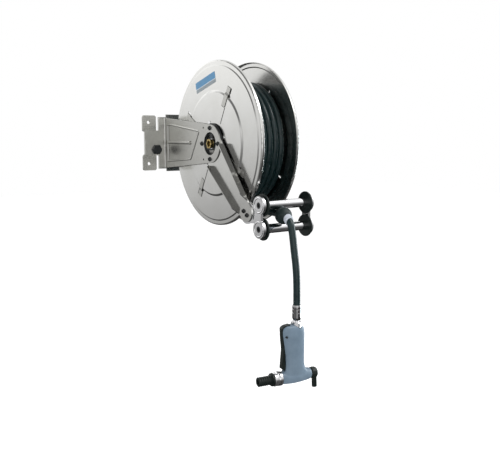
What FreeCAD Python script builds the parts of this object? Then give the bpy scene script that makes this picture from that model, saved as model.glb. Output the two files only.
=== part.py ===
"""Wall-mounted spring-rewind hose reel in stainless steel, with a roller guide and a spray gun.

Everything is modelled in a reel frame whose origin lies on the reel axis, at the middle of the
drum: X runs along the axis from the bracket side to the free side, Y runs into the wall and Z is
up. save() then shifts each sub-part so that the row's origin is the centre of the four wall bolts.
Lengths are in millimetres.
"""
import FreeCAD
import Part
import math
import os

V = FreeCAD.Vector
os.makedirs("parts", exist_ok=True)

# ---- driving dimensions ------------------------------------------------------------------------
AXIS_TO_WALL = 303.0        # reel axis to wall face
DISC_R = 250.0              # outer radius of the two drum discs
DISC_FACE = 68.5            # outer face of each disc's flat zone, from mid drum
SHEET = 2.0                 # disc sheet thickness
PLATEAU = 4.0               # how far each disc's middle is pressed outward
PLATEAU_R = 155.0           # radius of that pressed middle
HUB_HOLE_R = 60.0           # central hole of the bracket-side disc
CORE_R = 130.0              # drum core, outside
WOUND_R = 190.0             # outside of the wound hose
WOUND_HALF = 62.0           # half width of the wound hose
HOSE_D = 20.0               # hose outside diameter
SPOKE_CLOCK = 28.5          # clock angle of the first of four spokes, from the top to the front
LABEL_CLOCK = -14.6         # clock angle of the middle of the label plate

PLATE_T = 5.0               # wall plate
FLANGE_T = 3.0              # bracket sheet
ARM_FACE = -84.0            # outer face of the bracket arm
HUB_R = 58.0                # rounded hub end of bracket and guide arm
ARM_SLOPE = 0.0886          # how fast the bracket widens towards the wall
OPENING_R = 35.0            # hub opening
BOLT_CIRCLE_R = 47.0        # four hub bolts
WALL_HOLE_X = 145.0         # wall bolts, half spacing across
WALL_HOLE_Z = 69.0          # wall bolts, half spacing up
WALL_HOLE_R = 5.5

AXLE_R = 15.0
RUN = 0.05                  # running clearance of a shaft in its bush
ROLLER_Y = -262.0           # roller guide
ROLLER_Z = -200.0
ROLLER_GAP = 33.3           # half the distance between the two roller axes
ROLLER_R = 13.0
ROLLER_DISC_R = 32.0
ROLLER_X0 = -68.5
ROLLER_X1 = 76.0
ROLLER_DISC_T = 6.0
SHAFT_R = 6.0

STOP_R = 24.0               # ball-shaped hose stop
SLEEVE_R = 13.0             # grey sleeve in front of the stop
SLEEVE_END = 34.0           # how far that sleeve reaches, from the ball's centre
GUN_X = -20.0               # swivel axis of the gun
GUN_Y = -352.0
GUN_TURN = -8.0            # degrees that the gun hangs turned on its swivel
FERRULE_TOP = -436.0
FERRULE_END = -478.0
NUT_TOP = -483.0
NUT_BOTTOM = -505.0
BARREL_Z = -638.0
BARREL_R = 17.5


# ---- small helpers -----------------------------------------------------------------------------
def cyl_x(radius, x0, x1, y=0.0, z=0.0):
    return Part.makeCylinder(radius, x1 - x0, V(x0, y, z), V(1, 0, 0))


def cyl_y(radius, y0, y1, x, z):
    return Part.makeCylinder(radius, y1 - y0, V(x, y0, z), V(0, 1, 0))


def cyl_z(radius, z0, z1, x, y):
    return Part.makeCylinder(radius, z1 - z0, V(x, y, z0), V(0, 0, 1))


def ring_x(outer, inner, x0, x1, y=0.0, z=0.0):
    return cyl_x(outer, x0, x1, y, z).cut(cyl_x(inner, x0 - 1, x1 + 1, y, z))


def block(x0, x1, y0, y1, z0, z1):
    return Part.makeBox(x1 - x0, y1 - y0, z1 - z0, V(x0, y0, z0))


def clock_point(radius, clock):
    """(y, z) at a clock angle in degrees, from the top towards the front."""
    a = math.radians(clock)
    return -radius * math.sin(a), radius * math.cos(a)


def fuse(shapes):
    first, *others = shapes
    return first.multiFuse(others).removeSplitter() if others else first


def group(shapes):
    return Part.makeCompound(shapes)


def rounded_wire(points, radii):
    """Closed wire through coplanar points, each corner rounded by its own radius."""
    count = len(points)
    if not isinstance(radii, (list, tuple)):
        radii = [radii] * count
    starts, arcs = [], []
    for i, corner in enumerate(points):
        to_last = (points[i - 1] - corner).normalize()
        to_next = (points[(i + 1) % count] - corner).normalize()
        half = to_last.getAngle(to_next) / 2
        if radii[i] <= 0:
            starts.append((corner, corner))
            arcs.append(None)
            continue
        leg = radii[i] / math.tan(half)
        middle = (to_last + to_next).normalize()
        centre = corner + middle * (radii[i] / math.sin(half))
        first, last = corner + to_last * leg, corner + to_next * leg
        starts.append((first, last))
        arcs.append(Part.Arc(first, centre - middle * radii[i], last).toShape())
    edges = []
    for i in range(count):
        if arcs[i]:
            edges.append(arcs[i])
        line_from, line_to = starts[i][1], starts[(i + 1) % count][0]
        if line_from.distanceToPoint(line_to) > 1e-6:
            edges.append(Part.makeLine(line_from, line_to))
    return Part.Wire(Part.__sortEdges__(edges))


def plate_x(points, x0, x1, radii=0.0):
    """Plate in the YZ plane, from x0 to x1."""
    wire = rounded_wire([V(x0, y, z) for y, z in points], radii)
    return Part.Face(wire).extrude(V(x1 - x0, 0, 0))


def plate_y(points, y0, y1, radii=0.0):
    """Plate in the XZ plane, from y0 to y1."""
    wire = rounded_wire([V(x, y0, z) for x, z in points], radii)
    return Part.Face(wire).extrude(V(0, y1 - y0, 0))


def turned(points, radii=0.0, y=0.0, z=0.0):
    """Solid of revolution about X, from an (x, radius) outline."""
    wire = rounded_wire([V(x, y, z + r) for x, r in points], radii)
    return Part.Face(wire).revolve(V(0, y, z), V(1, 0, 0), 360)


def turned_z(points, x, y, radii=0.0):
    """Solid of revolution about a vertical axis, from a (radius, z) outline."""
    wire = rounded_wire([V(x + r, y, z) for r, z in points], radii)
    return Part.Face(wire).revolve(V(x, y, 0), V(0, 0, 1), 360)


def hexagon_x(across_flats, x0, x1, y=0.0, z=0.0):
    corner = across_flats / math.sqrt(3)
    angles = [math.radians(60 * i) for i in range(6)]
    return plate_x([(y + corner * math.cos(a), z + corner * math.sin(a)) for a in angles], x0, x1)


def mirrored(shape):
    """The same shape on the other side of mid drum."""
    return shape.mirror(V(0, 0, 0), V(1, 0, 0))


def turned_copy(shape, degrees):
    copy = shape.copy()
    copy.rotate(V(0, 0, 0), V(1, 0, 0), degrees)
    return copy


def save(name, shape):
    if name in GUN_PARTS:
        shape = shape.copy()
        shape.rotate(V(GUN_X, GUN_Y, 0), V(0, 0, 1), GUN_TURN)
    shape.translated(V(0, -AXIS_TO_WALL, 0)).exportStep("parts/" + name + ".step")
    volume = round(shape.Volume / 1000, 2)
    print(name, "solids", len(shape.Solids), "valid", shape.isValid(), "cm3", volume)


# ---- wall bracket ------------------------------------------------------------------------------
WALL = AXIS_TO_WALL
PLATE_FACE = WALL - PLATE_T
FLANGE_FACE = PLATE_FACE - FLANGE_T
EAR_IN, EAR_OUT = 117.0, 167.0
EAR_LOW, EAR_TOP = 38.0, 92.0
SLOT_IN = 108.5
MID_OUT = 160.0
MID_TOP = 42.0
FLANGE_TOP = 87.0
BEAD_Z0, BEAD_Z1 = -4.0, 9.0
LIP_DEPTH = 7.5
LOCK_X, LOCK_Z = -117.0, -22.0


def wall_plate():
    """Plate on the wall: four eared corners with a hole each, and an open slot beside each ear."""
    parts = [
        block(-MID_OUT, MID_OUT, PLATE_FACE, WALL, -MID_TOP, MID_TOP),
        block(-SLOT_IN, SLOT_IN, PLATE_FACE, WALL, -FLANGE_TOP, FLANGE_TOP),
        block(-79, 79, PLATE_FACE, WALL, -96, 96),
    ]
    ear = [(EAR_IN, EAR_LOW), (EAR_OUT, EAR_LOW), (EAR_OUT, EAR_TOP), (EAR_IN, EAR_TOP)]
    for side in (-1, 1):
        for up in (-1, 1):
            corners = [(side * x, up * z) for x, z in ear]
            parts.append(plate_y(corners, PLATE_FACE, WALL, 7.0))
    plate = fuse(parts)
    for side in (-1, 1):
        for up in (-1, 1):
            hole = cyl_y(WALL_HOLE_R, PLATE_FACE - 1, WALL + 1, side * WALL_HOLE_X, up * WALL_HOLE_Z)
            plate = plate.cut(hole)
    return plate.cut(cyl_y(8.3, PLATE_FACE - 1, WALL + 1, LOCK_X, LOCK_Z))


def arm_half_height(y):
    return HUB_R + ARM_SLOPE * y


def bracket_arm():
    """Pressed sheet: tapering arm with a recessed panel and bead, and its flange on the plate."""
    near, root = ARM_FACE, WALL - PLATE_T
    top = arm_half_height(root)
    blade = fuse([
        plate_x([(0, HUB_R), (0, -HUB_R), (root, -top), (root, top)], near, near + FLANGE_T),
        cyl_x(HUB_R, near, near + FLANGE_T),
    ])
    lips = []
    for up in (-1, 1):
        edge = [(40, arm_half_height(40)), (root, top), (root, top - FLANGE_T),
                (40, arm_half_height(40) - FLANGE_T)]
        lips.append(plate_x([(y, up * z) for y, z in edge], near + FLANGE_T, near + LIP_DEPTH))
    flange = fuse([
        block(-MID_OUT, near, FLANGE_FACE, PLATE_FACE, -MID_TOP, MID_TOP),
        block(-SLOT_IN, near, FLANGE_FACE, PLATE_FACE, -FLANGE_TOP + 2, FLANGE_TOP - 2),
    ])
    inside_bend = block(near - 5, near, FLANGE_FACE - 5, FLANGE_FACE, -84, 84)
    inside_bend = inside_bend.cut(cyl_z(5, -85, 85, near - 5, FLANGE_FACE - 5))
    rim = [(281, 63), (246, 62), (62, 40), (118, -52), (246, -61), (281, -63)]
    floor = [(277, 59), (246, 58), (68, 36.5), (120, -48), (246, -57), (277, -59)]

    def frustum(x_rim, x_floor, grow):
        """Tapered panel between the rim outline and the floor outline."""
        wires = []
        for outline, x in ((rim, x_rim), (floor, x_floor)):
            centre_y = sum(y for y, _ in outline) / len(outline)
            points = [V(x, centre_y + (y - centre_y) * grow, z * grow) for y, z in outline]
            wires.append(rounded_wire(points, 3.0))
        return Part.makeLoft(wires, True, True)

    hollow = frustum(near - 0.01, near + 4, 1.0)
    pan = frustum(near + FLANGE_T - 0.5, near + 4 + FLANGE_T, 1.03)
    bead = plate_x([(278, BEAD_Z0), (278, BEAD_Z1), (126, BEAD_Z1 - 2), (126, BEAD_Z0)],
                   near + 0.8, near + 5, [0.5, 0.5, 5.0, 5.0])
    bead_out = block(-MID_OUT, near - 4, FLANGE_FACE - 2.2, FLANGE_FACE + 0.5, BEAD_Z0, BEAD_Z1)
    arm = fuse([blade, flange, inside_bend] + lips + [pan]).cut(hollow)
    arm = fuse([arm, bead, bead_out])
    arm = arm.cut(cyl_x(OPENING_R, near - 1, near + 8))
    for hole_y, hole_z in bolt_places():
        arm = arm.cut(cyl_x(4.2, near - 1, near + 8, hole_y, hole_z))
    for up in (-1, 1):
        arm = arm.cut(cyl_x(3.0, near - 1, near + 8, 38, up * 48.5))
    return arm.cut(cyl_y(8.3, FLANGE_FACE - 1, PLATE_FACE + 1, LOCK_X, LOCK_Z))


def bolt_places():
    return [clock_point(BOLT_CIRCLE_R, 90 * i) for i in range(4)]


def lock_bolt():
    """Hexagon bolt that ties the bracket flange to the wall plate."""
    corner = 30 / math.sqrt(3)
    angles = [math.radians(60 * i) for i in range(6)]
    points = [(LOCK_X + corner * math.cos(a), LOCK_Z + corner * math.sin(a)) for a in angles]
    head = plate_y(points, FLANGE_FACE - 11, FLANGE_FACE)
    dome = Part.makeCone(17.2, 13.0, 4.5, V(LOCK_X, FLANGE_FACE - 6.5, LOCK_Z), V(0, -1, 0))
    head = head.common(dome.fuse(cyl_y(17.4, FLANGE_FACE - 6.5, FLANGE_FACE, LOCK_X, LOCK_Z)))
    return fuse([head, cyl_y(8.0, FLANGE_FACE, WALL - 0.5, LOCK_X, LOCK_Z)])


def hub_bolts():
    """Four flanged button-head bolts through arm, guide arm and hub flange."""
    bolts = []
    for y, z in bolt_places():
        outline = [(-89, 0), (-89, 4.6), (-84.6, 7.2), (-84, 7.2), (-84, 0)]
        head = turned(outline, [0, 1.6, 0.4, 0, 0], y, z)
        socket = hexagon_x(5, -90, -86.4, y, z)
        bolts.append(head.cut(socket).fuse(cyl_x(4.0, -84, -75, y, z)))
    return group(bolts)


# ---- guide arm ---------------------------------------------------------------------------------
WEB_X0, WEB_X1 = -81.0, -78.0
ARM_DIR = (-math.sqrt(0.5), -math.sqrt(0.5))
ARM_SIDE = (math.sqrt(0.5), -math.sqrt(0.5))
ARM_END = 271.0
ARM_END_R = 29.0
ARM_BOLTS = ((262.0, 6.0), (281.0, 2.0))


def along_arm(s, n):
    """(y, z) of a point s along the guide arm and n to its lower side."""
    return ARM_DIR[0] * s + ARM_SIDE[0] * n, ARM_DIR[1] * s + ARM_SIDE[1] * n


def guide_arm():
    """Channel from the hub down to the roller guide, its walls turned outward."""
    wide, slim = 53.0, 30.0
    blade = [(10, -wide), (10, wide), (262, slim), (262, -slim)]
    web = fuse([
        cyl_x(HUB_R, WEB_X0, WEB_X1),
        plate_x([along_arm(s, n) for s, n in blade], WEB_X0, WEB_X1),
        cyl_x(ARM_END_R, WEB_X0, WEB_X1, *along_arm(ARM_END, 0)),
    ])
    walls = []
    for side in (-1, 1):
        start, end = along_arm(48, side * 49.6), along_arm(252, side * 31)
        run = V(0, end[0] - start[0], end[1] - start[1])
        length = run.Length
        run.normalize()
        inward = V(0, -side * ARM_SIDE[0], -side * ARM_SIDE[1])
        base = V(0, start[0], start[1])

        def place(t, x):
            return base + run * t + V(x, 0, 0)

        outline = [place(0, WEB_X1), place(0, -97), place(length - 22, -95), place(length, -82),
                   place(length, WEB_X1)]
        wire = rounded_wire(outline, [0, 7, 14, 3, 0])
        walls.append(Part.Face(wire).extrude(inward * FLANGE_T))
    arm = fuse([web] + walls)
    arm = arm.cut(cyl_x(OPENING_R, WEB_X0 - 1, WEB_X1 + 1))
    for y, z in bolt_places():
        arm = arm.cut(cyl_x(4.2, WEB_X0 - 1, WEB_X1 + 1, y, z))
    for up in (-1, 1):
        arm = arm.cut(cyl_x(3.0, WEB_X0 - 1, WEB_X1 + 1, 38, up * 48.5))
    for s, n in ARM_BOLTS:
        arm = arm.cut(cyl_x(4.2, WEB_X0 - 1, WEB_X1 + 1, *along_arm(s, n)))
    return arm


LINK_X1 = -75.0


def guide_link():
    """Sector plate between guide arm and roller guide, with the curved slot that sets its tilt."""
    tip_y, tip_z = along_arm(ARM_END, 0)
    outline = [(tip_y - 10, tip_z + 30), (ROLLER_Y + 4, ROLLER_Z + 17), (ROLLER_Y + 4, ROLLER_Z - 17),
               (tip_y - 4, tip_z - 32)]
    plate = fuse([
        cyl_x(34.0, WEB_X1, LINK_X1, tip_y, tip_z),
        plate_x(outline, WEB_X1, LINK_X1, [8, 4, 4, 8]),
    ])
    slot = ring_x(39.5, 34.5, WEB_X1 - 1, LINK_X1 + 1, tip_y, tip_z)
    sector = [(tip_y, tip_z), (tip_y - 60, tip_z + 32), (tip_y - 60, tip_z - 32)]
    plate = plate.cut(slot.common(plate_x(sector, WEB_X1 - 2, LINK_X1 + 2)))
    for s, n in ARM_BOLTS:
        plate = plate.cut(cyl_x(4.2, WEB_X1 - 1, LINK_X1 + 1, *along_arm(s, n)))
    return plate


def guide_bolts():
    bolts = []
    for s, n in ARM_BOLTS:
        y, z = along_arm(s, n)
        head = turned([(-86, 0), (-86, 4.4), (-81, 7.0), (-81, 0)], [0, 1.6, 0, 0], y, z)
        head = head.cut(hexagon_x(5, -87, -83.4, y, z))
        nut = hexagon_x(12, LINK_X1, -70, y, z)
        bolts.append(fuse([head, cyl_x(4.0, -81, LINK_X1, y, z), nut]))
    return group(bolts)


# ---- roller guide ------------------------------------------------------------------------------
NEAR_PLATE = (-86.0, -78.0)
FAR_PLATE = (ROLLER_X1 + ROLLER_DISC_T + 0.5, ROLLER_X1 + ROLLER_DISC_T + 7.5)
ROLLER_ZS = (ROLLER_Z + ROLLER_GAP, ROLLER_Z - ROLLER_GAP)


def end_plate(x0, x1):
    """Dog-bone plate that holds both roller shafts."""
    neck = block(x0, x1, ROLLER_Y - 11, ROLLER_Y + 19, ROLLER_Z - 25, ROLLER_Z + 25)
    plate = fuse([neck] + [cyl_x(26.0, x0, x1, ROLLER_Y, z) for z in ROLLER_ZS])
    sink_x0, sink_x1 = (x0 - 1, x0 + 4) if x0 < 0 else (x1 - 4, x1 + 1)
    for z in ROLLER_ZS:
        plate = plate.cut(cyl_x(4.1, x0 - 1, x1 + 1, ROLLER_Y, z))
        plate = plate.cut(cyl_x(9.2, sink_x0, sink_x1, ROLLER_Y, z))
    return plate


def roller_shafts():
    """Two fixed shafts between the end plates, bored at both ends for their screws."""
    x0, x1 = NEAR_PLATE[1], FAR_PLATE[0]
    shafts = []
    for z in ROLLER_ZS:
        shaft = cyl_x(SHAFT_R, x0, x1, ROLLER_Y, z)
        shaft = shaft.cut(cyl_x(4.05, x0 - 1, x0 + 14, ROLLER_Y, z))
        shafts.append(shaft.cut(cyl_x(4.05, x1 - 14, x1 + 1, ROLLER_Y, z)))
    return group(shafts)


def shaft_screws():
    """Four sunk socket-head screws, one at each shaft end."""
    screws = []
    for z in ROLLER_ZS:
        for face, turn in ((NEAR_PLATE[0], 1), (FAR_PLATE[1], -1)):
            head = [face + turn * 0.4, face + turn * 4]
            x0, x1 = min(head), max(head)
            screw = cyl_x(9.0, x0, x1, ROLLER_Y, z)
            shank = [face + turn * 4, face + turn * 18]
            screw = screw.fuse(cyl_x(4.0, min(shank), max(shank), ROLLER_Y, z))
            socket = [face - turn * 1, face + turn * 3]
            screws.append(screw.cut(hexagon_x(9, min(socket), max(socket), ROLLER_Y, z)))
    return group(screws)


def roller_tube(z):
    """Polished roller tube in two halves that meet at a groove."""
    groove_r = ROLLER_R - 0.7
    outline = [(ROLLER_X0, 9.5), (ROLLER_X0, ROLLER_R), (-1.5, ROLLER_R), (-1, groove_r), (0, groove_r),
               (0.5, ROLLER_R), (ROLLER_X1, ROLLER_R), (ROLLER_X1, 9.5)]
    return turned(outline, 0.0, ROLLER_Y, z)


def roller_discs(z):
    """Black end discs that stop the hose running off the roller."""
    discs = []
    for x0 in (ROLLER_X0 - ROLLER_DISC_T, ROLLER_X1):
        x1 = x0 + ROLLER_DISC_T
        outline = [(x0, SHAFT_R + 0.3), (x0, ROLLER_DISC_R), (x1, ROLLER_DISC_R), (x1, SHAFT_R + 0.3)]
        discs.append(turned(outline, [0, 2.4, 2.4, 0], ROLLER_Y, z))
    return group(discs)


def roller_bushes(z):
    """Two plain bushes pressed into the tube ends."""
    length = 22
    starts = (ROLLER_X0, ROLLER_X1 - length)
    return group([ring_x(9.45, SHAFT_R + RUN, x0, x0 + length, ROLLER_Y, z) for x0 in starts])


# ---- hub: fixed parts --------------------------------------------------------------------------
def hub_flange():
    """Black flange between guide arm and drum, with windows round the axle."""
    flange = turned([(-78, AXLE_R + 0.02), (-78, 62), (-75, 62), (-75, AXLE_R + 0.02)], [0, 1.0, 1.0, 0])
    for i in range(3):
        window = ring_x(31, 20, -79, -74)
        y0, z0 = clock_point(60, 120 * i + 16)
        y1, z1 = clock_point(60, 120 * i + 104)
        ym, zm = clock_point(75, 120 * i + 60)
        sector = plate_x([(0, 0), (y0, z0), (ym, zm), (y1, z1)], -80, -73)
        flange = flange.cut(window.common(sector))
    for y, z in bolt_places():
        flange = flange.cut(cyl_x(4.1, -79, -74, y, z))
    return flange.cut(cyl_x(3.0, -79, -74, PAWL_Y, PAWL_Z))


AXLE_X0, AXLE_X1 = -78.0, 90.0


def axle():
    """Fixed hollow axle, bored from the bracket side, with cross ports to the swivel."""
    body = cyl_x(AXLE_R, AXLE_X0, AXLE_X1)
    body = body.cut(cyl_x(8.05, AXLE_X0 - 1, -14))
    body = body.cut(cyl_z(3.5, -20, 20, -17, 0))
    for x in (-31.5, -4.0):
        body = body.cut(ring_x(20, 14.0, x, x + 1.5))
    return body


def inlet_socket():
    """Brass inlet with a parallel pipe thread bore, in the mouth of the axle."""
    socket = fuse([hexagon_x(27, -88, -80), cyl_x(12.5, -80, -78), cyl_x(8.0, -78, -62)])
    return socket.cut(cyl_x(9.5, -89, -79)).cut(cyl_x(5.5, -80, -60))


def axle_clips():
    """Two retaining rings that hold the swivel along the axle."""
    clips = []
    for x in (-31.4, -3.9):
        ring = ring_x(18.5, 14.02, x, x + 1.3)
        clips.append(ring.cut(block(x - 1, x + 3, -4, 4, 0, 30)))
    return group(clips)


def spring_arbor():
    """Sleeve on the axle that holds the inner end of the rewind spring."""
    arbor = ring_x(23, AXLE_R + 0.02, 3, 45)
    return arbor.cut(block(5, 43, 20, 30, -1.5, 1.5))


def axle_nut():
    """Thrust washer and lock nut on the free end of the axle, as two solids."""
    washer = ring_x(26, AXLE_R + 0.02, 73.2, 76.2)
    nut = hexagon_x(41, 76.2, 88).cut(cyl_x(AXLE_R + 0.02, 76, 89))
    return group([washer, nut])


PAWL_Y, PAWL_Z = clock_point(37.0, 98)


def pawl_pin():
    """Shouldered pin in the hub flange, on which the pawl swings."""
    return fuse([cyl_x(2.95, -78, -62.2, PAWL_Y, PAWL_Z), cyl_x(5.0, -74.9, -69.4, PAWL_Y, PAWL_Z)])


# ---- drum --------------------------------------------------------------------------------------
def disc_outline():
    """(x, radius) outline of the bracket-side disc: pressed middle, stepped band, turned lip."""
    out = -DISC_FACE
    top = out - PLATEAU
    band = out + 2.4
    return [
        (top, HUB_HOLE_R), (top, PLATEAU_R), (out, PLATEAU_R + 5), (out, 233), (band, 236),
        (band, DISC_R), (band + 10, DISC_R), (band + 10, DISC_R - SHEET),
        (band + SHEET, DISC_R - SHEET), (band + SHEET, 236.8), (out + SHEET, 233.8),
        (out + SHEET, PLATEAU_R + 5.8), (top + SHEET, PLATEAU_R + 0.8), (top + SHEET, HUB_HOLE_R)]


DISC_CORNERS = [0, 2.5, 2.5, 1.5, 1.5, 4.0, 0.9, 0.9, 2.0, 1.0, 1.0, 1.5, 1.5, 0]
TAB_SLOT = (170.0, 188.0)


def near_disc():
    disc = turned(disc_outline(), DISC_CORNERS)
    top = -DISC_FACE - PLATEAU
    for i in range(4):
        spoke = block(top - 1.2, top + 0.5, -10, 10, 72, 124)
        disc = disc.fuse(turned_copy(spoke, SPOKE_CLOCK + 90 * i))
    for i in range(4):
        slot = block(-80, -60, -14.5, -10.5, TAB_SLOT[0], TAB_SLOT[1])
        disc = disc.cut(turned_copy(slot, SPOKE_CLOCK + 90 * i))
    for i in range(4):
        disc = disc.cut(cyl_x(3.1, -80, -60, *clock_point(66, SPOKE_CLOCK + 45 + 90 * i)))
    return disc


def far_disc():
    """The same pressing on the free side, with a small hub hole."""
    outline = [(x, 16.0 if r == HUB_HOLE_R else r) for x, r in disc_outline()]
    disc = turned(outline, DISC_CORNERS)
    top = -DISC_FACE - PLATEAU
    for i in range(4):
        spoke = block(top - 1.2, top + 0.5, -10, 10, 60, 124)
        disc = disc.fuse(turned_copy(spoke, SPOKE_CLOCK + 90 * i))
    for i in range(4):
        slot = block(-80, -60, -14.5, -10.5, TAB_SLOT[0], TAB_SLOT[1])
        disc = disc.cut(turned_copy(slot, SPOKE_CLOCK + 90 * i))
        disc = disc.cut(cyl_x(3.1, -80, -60, *clock_point(112, SPOKE_CLOCK + 45 + 90 * i)))
        disc = disc.cut(cyl_x(3.1, -80, -60, *clock_point(66, SPOKE_CLOCK + 45 + 90 * i)))
    return mirrored(disc)


def disc_tabs():
    """Four joggled straps of the bracket side that tie the drum core to the disc."""
    top = -DISC_FACE - PLATEAU
    low = -DISC_FACE
    t = 1.6
    outline = [V(top - t, 0, 126), V(top - t, 0, 161), V(low - t, 0, 168), V(low - t, 0, 187),
               V(low, 0, 187), V(low, 0, 167), V(top, 0, 160), V(top, 0, 126)]
    face = Part.Face(rounded_wire(outline, [0.7, 2, 2, 0.7, 0, 1, 0, 0]))
    strap = face.extrude(V(0, 18, 0)).translated(V(0, -9, 0))
    strap = strap.cut(turned(disc_outline(), DISC_CORNERS))
    return group([turned_copy(strap, SPOKE_CLOCK + 90 * i) for i in range(4)])


def far_disc_tabs():
    return mirrored(disc_tabs())


def drum_core():
    """Rolled core that the hose is wound on."""
    half = DISC_FACE + PLATEAU - SHEET
    core = ring_x(CORE_R, CORE_R - SHEET, -half, half)
    return core.cut(cyl_z(8.1, -CORE_R - 5, -CORE_R + 10, OUTLET_X, 0))


OUTLET_X = -17.0
BELL_X = -47.0


def near_hub():
    """Bell-shaped bearing housing on the bracket side."""
    inner_face = -DISC_FACE - PLATEAU + SHEET
    outline = [
        (inner_face, 57), (inner_face, 75), (inner_face + 3, 75), (inner_face + 3, 60),
        (BELL_X + 3, 60), (BELL_X + 3, 24), (-34, 24), (-34, 18), (-52, 18), (-52, 24),
        (BELL_X, 24), (BELL_X, 57)]
    hub = turned(outline, [0, 0, 0, 1.5, 3, 2, 0, 0, 0, 0, 0, 0])
    for i in range(4):
        hub = hub.cut(cyl_x(2.6, -80, -60, *clock_point(66, SPOKE_CLOCK + 45 + 90 * i)))
    return hub


def far_hub():
    inner_face = DISC_FACE + PLATEAU - SHEET
    outline = [(inner_face, 18), (inner_face, 75), (inner_face - 3, 75), (inner_face - 3, 24),
               (51, 24), (51, 18)]
    hub = turned(outline, [0, 0, 0, 3, 0, 0])
    for i in range(4):
        hub = hub.cut(cyl_x(2.6, 60, 80, *clock_point(66, SPOKE_CLOCK + 45 + 90 * i)))
    return hub


def hub_bearings():
    """Two plain bearing bushes on which the drum turns."""
    return group([ring_x(17.98, AXLE_R + RUN, -52, -34), ring_x(17.98, AXLE_R + RUN, 51, 70)])


def hub_screws():
    """Screws that hold the two hubs and the spring case to the discs."""
    screws = []
    near_face, far_face = -DISC_FACE - PLATEAU, DISC_FACE + PLATEAU
    cap_outline = [(far_face + 3, 0), (far_face + 3, 3), (far_face, 5), (far_face, 0)]
    for i in range(4):
        clock = SPOKE_CLOCK + 45 + 90 * i
        y, z = clock_point(66, clock)
        head = cyl_x(5, near_face - 1.8, near_face, y, z)
        screws.append(fuse([head, cyl_x(2.55, near_face, near_face + 9, y, z)]))
        for radius in (66, 112):
            y, z = clock_point(radius, clock)
            cap = turned(cap_outline, [0, 1.5, 0, 0], y, z)
            screws.append(fuse([cap, cyl_x(2.55, far_face - 9, far_face, y, z)]))
    return group(screws)


RATCHET_TEETH = 12
RATCHET_X = (-69.0, -63.0)


def ratchet_ring():
    """Internal ratchet ring pressed into the bell."""
    ring = ring_x(56.98, 51, *RATCHET_X)
    teeth = []
    pitch = 360 / RATCHET_TEETH
    for i in range(RATCHET_TEETH):
        face, back = pitch * i, pitch * i - 17
        points = [clock_point(51.5, face), clock_point(45, face), clock_point(51.5, back)]
        teeth.append(plate_x(points, *RATCHET_X))
    return fuse([ring] + teeth)


def spring_case():
    """Cup round the rewind spring, screwed to the free-side disc by its rim."""
    inner_face = DISC_FACE + PLATEAU - SHEET
    outline = [(0, 103), (0, 105), (inner_face - 2, 105), (inner_face - 2, 120), (inner_face, 120),
               (inner_face, 103), (49, 103), (49, 27), (47, 27), (47, 103)]
    case = turned(outline, 0.0)
    for i in range(4):
        case = case.cut(cyl_x(2.6, 60, 80, *clock_point(112, SPOKE_CLOCK + 45 + 90 * i)))
    return case


def spring_cover():
    return ring_x(105, 27, -2, 0)


SPRING_T = 1.2
SPRING_TURNS = 9


def rewind_spring():
    """Flat spiral spring, built of half circles of growing radius."""
    inner, pitch = 24.0, (101.0 - 24.0) / SPRING_TURNS

    def spiral(offset):
        edges, side, radius, start = [], 1, inner + offset, None
        centre = 0.0
        for half_turn in range(2 * SPRING_TURNS):
            first = V(0, centre + side * radius, 0)
            last = V(0, centre - side * radius, 0)
            middle = V(0, centre, side * radius)
            edges.append(Part.Arc(first, middle, last).toShape())
            start = start or first
            next_radius = radius + pitch / 4
            centre += side * (next_radius - radius)
            radius = next_radius
            side = -side
        return edges, start, last

    low, low_start, low_end = spiral(0.0)
    high, high_start, high_end = spiral(SPRING_T)
    edges = low + [Part.makeLine(low_start, high_start), Part.makeLine(low_end, high_end)] + high
    face = Part.Face(Part.Wire(Part.__sortEdges__(edges)))
    return face.extrude(V(40, 0, 0)).translated(V(4, 0, 0))


def swivel_rotor():
    """Brass ring that turns on the axle and takes the water out to the hose."""
    rotor = ring_x(26, AXLE_R + RUN, -29.9, -4.1)
    rotor = rotor.cut(ring_x(18, 10, -20, -14))
    for x in (-27.5, -9.5):
        rotor = rotor.cut(ring_x(17.4, 10, x, x + 3))
    return rotor.cut(cyl_z(8.0, -30, -20, OUTLET_X, 0)).cut(cyl_z(5.5, -26, -15, OUTLET_X, 0))


def swivel_seals():
    return group([ring_x(17.3, AXLE_R + 0.03, x + 0.15, x + 2.85) for x in (-27.5, -9.5)])


def outlet_pipe():
    """Pipe from the swivel to the drum core, where the hose starts."""
    pipe = cyl_z(7.98, -CORE_R + 0.4, -20.05, OUTLET_X, 0).cut(cyl_z(5.5, -CORE_R - 1, -19, OUTLET_X, 0))
    collar = cyl_z(12, -127.3, -121, OUTLET_X, 0).cut(cyl_z(7.9, -130, -120, OUTLET_X, 0))
    return fuse([pipe, collar])


def wound_hose():
    """Outer shape of the hose wound on the drum."""
    inner = CORE_R + 0.05
    outline = [(-WOUND_HALF, inner), (-WOUND_HALF, WOUND_R), (WOUND_HALF, WOUND_R), (WOUND_HALF, inner)]
    return turned(outline, [0, 9, 9, 0])


def label_plate():
    """Blank identification plate on the bracket-side disc."""
    half, low, high = 59.5, 175.5, 208.5
    corners = [(-half, low), (half, low), (half, high), (-half, high)]
    return turned_copy(plate_x(corners, -DISC_FACE, -DISC_FACE - 0.5, 2.0), LABEL_CLOCK)


def pawl():
    """Sprung pawl, its nose in the gap between two ratchet teeth."""
    heel = cyl_x(5.5, -69, -63.5, PAWL_Y, PAWL_Z)
    polar = [(49.8, 67.5), (45.5, 66.5), (35.5, 84), (33.0, 94), (42.0, 96), (44.0, 84)]
    finger = plate_x([clock_point(r, clock) for r, clock in polar], -69, -63.5, [0.6, 0.6, 3, 0, 0, 3])
    return fuse([heel, finger]).cut(cyl_x(3.0, -70, -62, PAWL_Y, PAWL_Z))


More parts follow.
